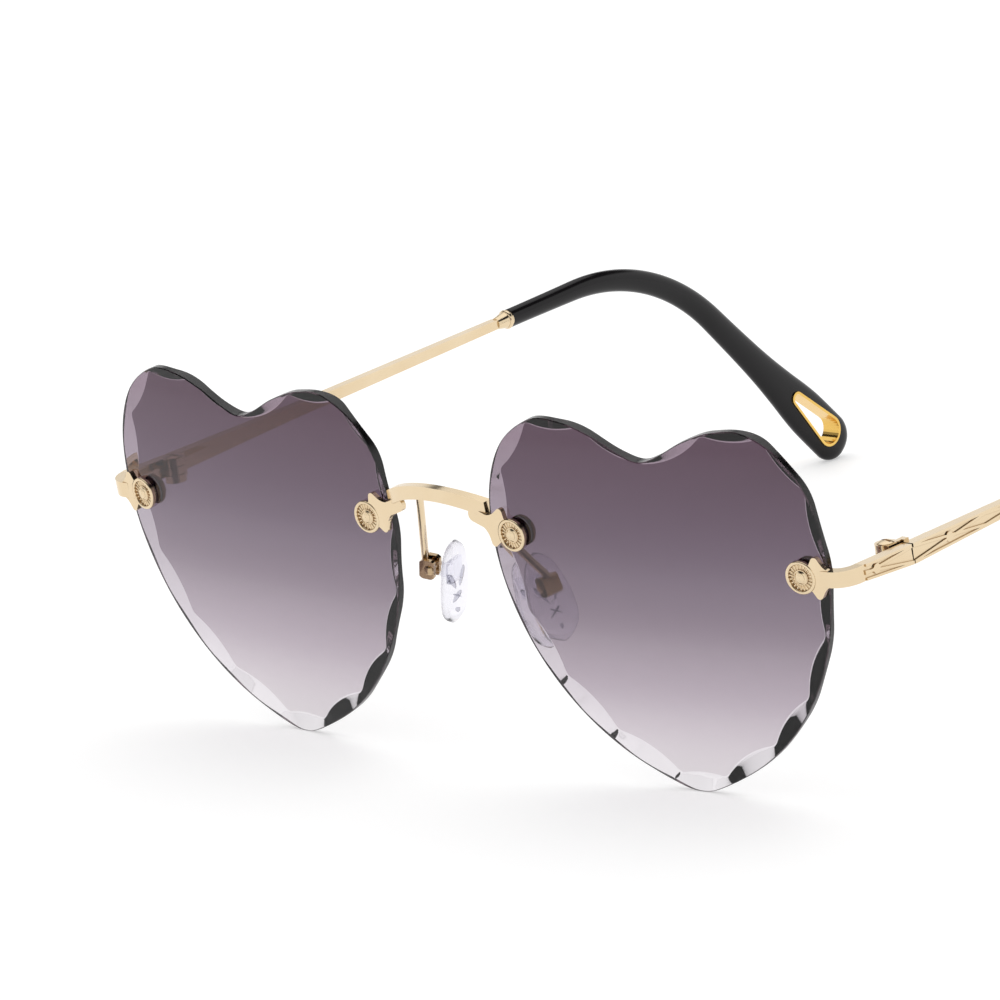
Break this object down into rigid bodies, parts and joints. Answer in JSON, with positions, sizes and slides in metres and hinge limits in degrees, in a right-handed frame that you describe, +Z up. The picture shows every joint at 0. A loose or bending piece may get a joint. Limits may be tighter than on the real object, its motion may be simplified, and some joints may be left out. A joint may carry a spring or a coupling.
{
  "type": "rimless sunglasses",
  "caption": "Rimless sunglasses with heart-shaped gradient lenses, scalloped cut edges, slim gilt temples with engraved lattice and black acetate tips.",
  "frame": {"origin": "on the floor under the middle of the whole, standing open on the lens points and the temple tips", "axes": "+Z up, front of the lenses towards -Y, temples run back along +Y, wearer's left lens towards +X"},
  "size_m": [0.1444, 0.1666, 0.0538],
  "materials": {
    "gilt_metal": "polished pale gold plating",
    "warm_gilt_metal": "polished yellow gold plating",
    "tinted_lens": "polished, grey-mauve gradient tint, clear at the bottom",
    "black_acetate": "polished black",
    "clear_silicone": "clear soft silicone",
    "clear_insert": "clear hard insert",
    "nylon": "translucent"
  },
  "bodies": {
    "front": {"lens_left": "tinted_lens", "lens_right": "tinted_lens", "bridge": "gilt_metal", "end_piece_left": "gilt_metal", "end_piece_right": "gilt_metal", "rosette_nose_left": "gilt_metal", "rosette_nose_right": "gilt_metal", "rosette_temple_left": "gilt_metal", "rosette_temple_right": "gilt_metal", "sleeve_nose_left": "nylon", "sleeve_nose_right": "nylon", "sleeve_temple_left": "nylon", "sleeve_temple_right": "nylon", "washer_nose_left": "nylon", "washer_nose_right": "nylon", "washer_temple_left": "nylon", "washer_temple_right": "nylon", "nut_nose_left": "warm_gilt_metal", "nut_nose_right": "warm_gilt_metal", "nut_temple_left": "warm_gilt_metal", "nut_temple_right": "warm_gilt_metal", "pad_arm_left": "gilt_metal", "pad_arm_right": "gilt_metal", "pad_box_left": "gilt_metal", "pad_box_right": "gilt_metal", "pad_screw_left": "gilt_metal", "pad_screw_right": "gilt_metal", "hinge_front_left": "gilt_metal", "hinge_screw_left": "gilt_metal", "hinge_front_right": "gilt_metal", "hinge_screw_right": "gilt_metal"},
    "pad_left": {"pad_insert_left": "clear_insert", "nose_pad_left": "clear_silicone"},
    "pad_right": {"pad_insert_right": "clear_insert", "nose_pad_right": "clear_silicone"},
    "temple_left": {"hinge_temple_left": "gilt_metal", "temple_bar_left": "gilt_metal", "ferrule_left": "gilt_metal", "temple_tip_left": "black_acetate", "eyelet_left": "warm_gilt_metal"},
    "temple_right": {"hinge_temple_right": "gilt_metal", "temple_bar_right": "gilt_metal", "ferrule_right": "gilt_metal", "temple_tip_right": "black_acetate", "eyelet_right": "warm_gilt_metal"}
  },
  "joints": [
    {"name": "temple_left_fold", "type": "hinge", "parent": "front", "child": "temple_left", "pos_m": [-0.06812, -0.06448, 0.03428], "axis": [0, 0.0677, -0.9977], "range_deg": [0, 92]},
    {"name": "temple_right_fold", "type": "hinge", "parent": "front", "child": "temple_right", "pos_m": [0.06812, -0.06448, 0.03428], "axis": [0, -0.0677, 0.9977], "range_deg": [0, 85]},
    {"name": "pad_left_rock", "type": "hinge", "parent": "front", "child": "pad_left", "pos_m": [-0.0115, -0.07126, 0.02652], "axis": [-0.2837, 0.9396, 0.1914], "range_deg": [-12, 12]},
    {"name": "pad_right_rock", "type": "hinge", "parent": "front", "child": "pad_right", "pos_m": [0.0115, -0.07126, 0.02652], "axis": [0.2837, 0.9396, 0.1914], "range_deg": [-12, 12]}
  ]
}
